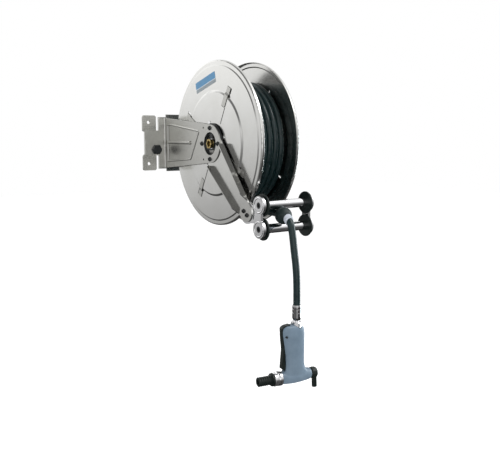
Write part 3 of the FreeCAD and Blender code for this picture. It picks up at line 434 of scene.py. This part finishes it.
def gun_cover():
    """Smooth moulded T of handle and barrel, split down the middle into its two halves."""
    rings = []
    for height, front, back, half in HANDLE:
        middle, reach = (front + back) / 2, (back - front) / 2
        rings.append([from_gun((middle + a) / 1000, b / 1000, height / 1000)
                      for a, b in oval(56, reach, half, 2.5)])
    body = new_piece("gun_body", skin(rings), look["grip"])
    rings = []
    for along, size, rise in BARREL:
        rings.append([from_gun(along / 1000, a / 1000, BARREL_Z + (rise + b) / 1000)
                      for a, b in oval(48, size, size)])
    barrel = new_piece("barrel", skin(rings), look["grip"])
    blended(body, [barrel], 0.0013, 9)
    front, back = SLOT_ALONG
    outline = ((front, -SLOT_HALF), (back, -SLOT_HALF), (back, SLOT_HALF), (front, SLOT_HALF))
    slot = skin([[from_gun(a, b, height) for a, b in outline] for height in SLOT_HEIGHT])
    slot = new_piece("slot", slot, look["grip"])
    bore = rod(from_gun(0, 0, BORE_HEIGHT[0]), from_gun(0, 0, BORE_HEIGHT[1]), BORE_R)
    pin_hole = rod(from_gun(PIVOT[0], -PIN_HALF, PIVOT[1]), from_gun(PIVOT[0], PIN_HALF, PIVOT[1]), PIN_R)
    carved(body, [slot, bore, pin_hole])
    across = from_gun(0, 1, 0) - from_gun(0, 0, 0)
    for name, side, node in (("gun_front_cover", -1, "gun_front_shell"),
                             ("gun_back_cover", 1, "gun_back_shell")):
        half = bmesh.new()
        half.from_mesh(body.data)
        cut = bmesh.ops.bisect_plane(half, geom=half.verts[:] + half.edges[:] + half.faces[:], dist=1e-7,
                                     plane_co=from_gun(0, side * SEAM_HALF, 0), plane_no=across * -side,
                                     clear_outer=True)
        rim = [edge for edge in cut["geom_cut"] if isinstance(edge, bmesh.types.BMEdge)]
        bmesh.ops.holes_fill(half, edges=rim, sides=0)
        bmesh.ops.recalc_face_normals(half, faces=half.faces)
        mesh = bpy.data.meshes.new(name)
        half.to_mesh(mesh)
        half.free()
        made = new_piece(name, mesh, look["grip"])
        mesh.shade_smooth()
        mesh.set_sharp_from_angle(angle=math.radians(38))
        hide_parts(node)
        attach(made, "gun")
    bpy.data.objects.remove(body)


def trigger_lever():
    """The trigger with its edges rounded."""
    made = new_piece("trigger_lever", nodes["trigger"].data.copy(), look["black_plastic"])
    remeshed(made, 0.0007, 0.5, 5)
    made.data.materials.clear()
    made.data.materials.append(look["black_plastic"])
    made.data.shade_smooth()
    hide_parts("trigger")
    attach(made, "trigger")


# (along, radius) of the flow knob, from the barrel outwards
KNOB = [(43, 9.5), (44.5, 13), (48, 15.6), (54, 16.4), (60, 15.8), (64, 13), (66, 8)]
KNOB_GROOVES = 12
GROOVE_DEPTH = 0.035                    # as a share of the knob's radius
# (drop below the barrel's axis, shift along it) of the knob's tail, and its half sizes
TAIL = [(0.004, -0.001), (0.030, 0.0), (0.0405, 0.0005), (0.0425, 0.0005)]
TAIL_ALONG, TAIL_HALF = 0.0595, (0.0072, 0.0058)


def flow_knob():
    """Rounded knob with shallow finger grooves and a broad tail."""
    rings = []
    for along, radius in KNOB:
        ring = []
        for i in range(72):
            turn = math.tau * i / 72
            groove = 1 - GROOVE_DEPTH * (0.5 - 0.5 * math.cos(KNOB_GROOVES * turn)) ** 2
            ring.append(from_gun(along / 1000, radius * groove * math.sin(turn) / 1000,
                                 BARREL_Z + radius * groove * math.cos(turn) / 1000))
        rings.append(ring)
    made = new_piece("flow_knob", skin(rings), look["black_plastic"])
    tail = [[from_gun(TAIL_ALONG + shift + a, b, BARREL_Z - drop) for a, b in oval(28, *TAIL_HALF, 3)]
            for drop, shift in TAIL]
    blended(made, [new_piece("tail", skin(tail), look["black_plastic"])], 0.0006, 5)
    made.data.shade_smooth()
    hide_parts("regulator_knob")
    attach(made, "regulator_knob")


gun_cover()
trigger_lever()
flow_knob()


# ---- pressed ridges ----------------------------------------------------------------------------
ARM_FACE, BEAD_FACE = -84.0, -83.2      # outer faces across x, in millimetres from the reel axis
NEAR_FACE, FAR_FACE = -86.0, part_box("far_end_plate")[1][0] * 1000
ROLLER_Y, ROLLER_ZS = -262.0, {"upper": -200.0 + 33.3, "lower": -200.0 - 33.3}
SUNK = 0.25                             # how deep a ridge's edges lie under the face
ARC_STEPS = 12
PANEL = [(279, 61), (246, 60), (65, 38.3), (119, -50), (246, -59), (279, -61)]
RING_R = 20.5
BEAD = [(277, 2.5), (200, 2.2), (134, 1.8), (129, 1.8)]


def eased(points, radius):
    """The same open path with its corners rounded."""
    points = [Vector(point) for point in points]
    path = [points[0]]
    for before, corner, after in zip(points, points[1:], points[2:]):
        first = corner + (before - corner).normalized() * radius
        last = corner + (after - corner).normalized() * radius
        for i in range(7):
            t = i / 6
            path.append(first * (1 - t) ** 2 + corner * (2 * t * (1 - t)) + last * t * t)
    return path + [points[-1]]


def ridge_ring(made, point, side, face, outward, width, height, root):
    """One cross-section of a ridge: a half-round top and a flat root."""
    ring = []
    for step in range(ARC_STEPS + 1):
        turn = math.pi * step / ARC_STEPS
        place = point + side * (width / 2 * math.cos(turn))
        ring.append(made.verts.new(reel(face + outward * (height * math.sin(turn) - SUNK), *place)))
    for end in (-1, 1):
        place = point + side * (width / 2 * end)
        ring.append(made.verts.new(reel(face - outward * (SUNK + root), *place)))
    return ring


def ridge(name, path, face, outward, width, height, key, closed=False, root=0.25):
    """Half-round ridge along a path of (y, z) points on a flat face across x.

    The face looks outward, -1 or 1 along x. Root is how far the ridge reaches in below its edges.
    """
    made = bmesh.new()
    rings = []
    for i, point in enumerate(path):
        before = path[i - 1] if closed or i else path[0]
        after = path[(i + 1) % len(path)] if closed or i < len(path) - 1 else path[-1]
        ahead = (after - before).normalized()
        side = Vector((-ahead.y, ahead.x))
        rings.append(ridge_ring(made, point, side, face, outward, width, height, root))
    for low, high in list(zip(rings, rings[1:])) + ([(rings[-1], rings[0])] if closed else []):
        for j in range(len(low)):
            k = (j + 1) % len(low)
            made.faces.new((low[j], low[k], high[k], high[j]))
    if not closed:
        made.faces.new(rings[0])
        made.faces.new(rings[-1][::-1])
    bmesh.ops.recalc_face_normals(made, faces=made.faces)
    mesh = bpy.data.meshes.new(name)
    made.to_mesh(mesh)
    made.free()
    piece = new_piece(name, mesh, look[key])
    mesh.shade_smooth()
    mesh.set_sharp_from_angle(angle=math.radians(50))
    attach(piece, "frame")


ridge("panel_edge", eased(PANEL, 5), ARM_FACE, -1, 6.0, 1.8, "sheet", root=2.2)
ridge("panel_bead", [Vector(point) for point in BEAD], BEAD_FACE, -1, 10.0, 2.6, "sheet")
for end_name, face, outward in (("near", NEAR_FACE, -1), ("far", FAR_FACE, 1)):
    for level, height in ROLLER_ZS.items():
        circle = [Vector((ROLLER_Y + b, height + a)) for a, b in oval(56, RING_R, RING_R)]
        ridge(end_name + "_" + level + "_ring", circle, face, outward, 4.2, 1.5, "end_plate",
              closed=True)


# ---- hose --------------------------------------------------------------------------------------
def cord_curve(name, points):
    """One open NURBS curve with a round section, through its control points' hull."""
    data = bpy.data.curves.new(name, "CURVE")
    data.dimensions = "3D"
    spline = data.splines.new("NURBS")
    spline.points.add(len(points) - 1)
    for point, place in zip(spline.points, points):
        point.co = (*place, 1)
    spline.order_u, spline.use_endpoint_u = 3, True
    spline.resolution_u = 6
    data.bevel_depth, data.bevel_resolution = HOSE_D / 2, 7
    data.use_fill_caps = True
    data.materials.append(look["hose"])
    made = bpy.data.objects.new(name, data)
    bpy.context.scene.collection.objects.link(made)
    return made


LANES = [-51.0 + 20.4 * i for i in range(6)]
LAYERS = (140.0, 160.0, 180.0)              # radii of the winding's layers
STEPS = 16                                  # control points in one turn of the winding
CROSSING = 270                              # travelled angle of the first step to the next lane
CROSSING_SPAN = 45                          # angle that a step to the next lane takes
INNER_END = (-17.0, 134.0)                  # place across the drum and radius where the hose starts
RISE_SPAN = 150                             # angle over which it rises from there to the first layer
SHORT_BY = 30                               # angle missing from the last turn
TUCK, TUCK_SPAN = 14.0, 60                  # how far the outer end sinks in, and over what angle


def smooth(t):
    """Smooth step from 0 to 1."""
    t = max(0.0, min(1.0, t))
    return t * t * (3 - 2 * t)


def winding():
    """Three layers of six turns, each turn stepping to the next lane behind the drum."""
    lanes = []
    for i, radius in enumerate(LAYERS):
        lanes += [(x, radius) for x in (reversed(LANES) if i % 2 else LANES)]
    spread = 1 / math.cos(math.pi / STEPS)  # control points stand outside the turn that they draw
    points = []
    end = CROSSING + 360 * (len(lanes) - 1) - SHORT_BY
    step = 360 / STEPS
    for i in range(int(end / step) + 1):
        travelled = i * step
        turn = (travelled - CROSSING) / 360
        lane = max(0, math.floor(turn) + 1)
        x, radius = lanes[min(lane, len(lanes) - 1)]
        into = (turn - math.floor(turn)) * 360
        if lane > 0 and into < CROSSING_SPAN:
            from_x, from_radius = lanes[lane - 1]
            share = smooth(into / CROSSING_SPAN)
            x, radius = from_x + (x - from_x) * share, from_radius + (radius - from_radius) * share
        if lane == 0:
            share = smooth(travelled / RISE_SPAN)
            from_x, from_radius = INNER_END
            x, radius = from_x + (x - from_x) * share, from_radius + (radius - from_radius) * share
        if travelled > end - TUCK_SPAN:
            radius -= TUCK * smooth((travelled - end + TUCK_SPAN) / TUCK_SPAN)
        clock = math.radians(180 - travelled)
        radius *= spread
        points.append(reel(x, -radius * math.sin(clock), radius * math.cos(clock)))
    return points


wound = cord_curve("wound_turns", winding())
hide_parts("wound_hose")
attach(wound, "drum")

HANG = [reel(-12, 34, -186), reel(-14, 0, -196), reel(-15, -110, -196), reel(-16, -214, -191),
        reel(-18, -294, -195.5), reel(-19.5, -321.5, -212), reel(-20, -331, -246),
        reel(-20.5, -338, -284), reel(-20.3, -349, -338), reel(-20, -352, -390), reel(-20, -352, -436)]
hanging = cord_curve("hanging_run", HANG)
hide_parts("hanging_hose")
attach(hanging, "frame")


# ---- studio ------------------------------------------------------------------------------------
# (sine of the height, brightness) of the surroundings, from below to above
SKY = [(-1.0, 0.08), (-0.35, 0.08), (-0.14, 0.22), (0.02, 0.39), (0.14, 0.66), (0.30, 0.90), (0.8, 1.0)]
# (direction, cosine at its edge, cosine at its core, brightness added) of soft patches
PATCHES = [
    ((-0.33, 0.93, 0.22), 0.85, 0.985, 0.80),       # behind, which the flat sheet mirrors
    ((-0.455, 0.885, -0.06), 0.985, 0.998, -0.16),  # a little darker below that
    ((0.56, -0.35, 0.75), 0.84, 0.97, 0.5),         # high on the right, for the rollers
    ((-0.56, 0.09, 0.83), 0.72, 0.92, -0.75),       # dark above on the left
    ((-1.0, 0.0, -0.10), 0.75, 0.97, 0.15),         # on the left
    ((-0.46, -0.88, 0.02), 0.88, 0.985, 0.95),      # in front, for the bracket and the wall plate
    ((0.95, 0.25, -0.1), 0.60, 0.95, -0.5),         # dark behind on the right
]
DARKEST = 0.02
FLOOR_Z, FLOOR_REACH = -0.95, 9


def studio_world():
    """Soft studio: white to the eye, and for light and reflections brighter above than below."""
    world = bpy.data.worlds.new("studio")
    world.use_nodes = True
    tree = world.node_tree
    link = tree.links.new
    background = tree.nodes["Background"]

    def lobe(direction, edge, core, strength):
        """Soft round patch of light, from the cosine of its edge to the cosine of its core."""
        dot = tree.nodes.new("ShaderNodeVectorMath")
        dot.operation = "DOT_PRODUCT"
        link(where, dot.inputs[0])
        dot.inputs[1].default_value = Vector(direction).normalized()
        ease = tree.nodes.new("ShaderNodeMapRange")
        ease.interpolation_type = "SMOOTHSTEP"
        link(dot.outputs["Value"], ease.inputs[0])
        for socket, value in zip(ease.inputs[1:5], (edge, core, 0.0, strength)):
            socket.default_value = value
        return ease.outputs[0]

    where = tree.nodes.new("ShaderNodeTexCoord").outputs["Generated"]
    split = tree.nodes.new("ShaderNodeSeparateXYZ")
    link(where, split.inputs[0])
    height = tree.nodes.new("ShaderNodeValToRGB")
    shift = tree.nodes.new("ShaderNodeMapRange")
    link(split.outputs[2], shift.inputs[0])
    shift.inputs[1].default_value, shift.inputs[2].default_value = -1.0, 1.0
    link(shift.outputs[0], height.inputs[0])
    while len(height.color_ramp.elements) < len(SKY):
        height.color_ramp.elements.new(0.5)
    for element, (sine, level) in zip(height.color_ramp.elements, SKY):
        element.position, element.color = (sine + 1) / 2, (level, level, level, 1)
    total = height.outputs[0]
    for patch in PATCHES:
        add = tree.nodes.new("ShaderNodeMath")
        add.operation = "ADD"
        link(total, add.inputs[0])
        link(lobe(*patch), add.inputs[1])
        total = add.outputs[0]
    floor_of = tree.nodes.new("ShaderNodeMath")
    floor_of.operation = "MAXIMUM"
    link(total, floor_of.inputs[0])
    floor_of.inputs[1].default_value = DARKEST
    tint = tree.nodes.new("ShaderNodeMix")
    tint.data_type = "RGBA"
    seen = tree.nodes.new("ShaderNodeLightPath").outputs["Is Camera Ray"]
    link(seen, tint.inputs[0])
    link(floor_of.outputs[0], tint.inputs[6])
    tint.inputs[7].default_value = (1, 1, 1, 1)
    link(tint.outputs[2], background.inputs["Color"])
    bpy.context.scene.world = world


def light(name, energy, size, place, aim, color=(1, 1, 1)):
    """Soft area light that the camera doesn't see."""
    data = bpy.data.lights.new(name, "AREA")
    data.energy, data.shape, data.color = energy, "RECTANGLE", color
    data.size, data.size_y = size
    made = bpy.data.objects.new(name, data)
    bpy.context.scene.collection.objects.link(made)
    made.location = place
    made.rotation_mode = "QUATERNION"
    made.rotation_quaternion = (Vector(aim) - Vector(place)).to_track_quat("-Z", "Y")
    made.visible_camera = False
    return made


studio_world()
bpy.context.scene.view_settings.view_transform = "Standard"

floor_look = Shader("floor", grey(0.90), 0.0, 0.85, Emission_Strength=0.28, Specular_IOR_Level=0.1)
floor_look.bsdf.inputs["Emission Color"].default_value = (1, 1, 1, 1)
floor_look.colored(floor_look.mix(floor_look.noise(3.0), grey(0.88), grey(0.92)))
mesh = bpy.data.meshes.new("floor")
corners = [(FLOOR_REACH * a, FLOOR_REACH * b, FLOOR_Z) for a, b in ((-1, -1), (1, -1), (1, 1), (-1, 1))]
mesh.from_pydata(corners, [], [(0, 1, 2, 3)])
mesh.materials.append(floor_look.material)
floor = bpy.data.objects.new("floor", mesh)
bpy.context.scene.collection.objects.link(floor)
floor.visible_glossy = False

CENTRE = reel(0, 0, 0)
light("key", 30, (1.4, 1.2), (1.0, -1.9, 2.2), CENTRE)
side_light = light("side", 12, (1.0, 1.8), (-2.7, -1.0, 0.6), CENTRE, (1.0, 0.99, 0.97))
side_light.visible_glossy = False
light("rim", 60, (0.6, 2.6), (2.5, -1.1, 0.0), CENTRE, (0.90, 0.97, 1.0))
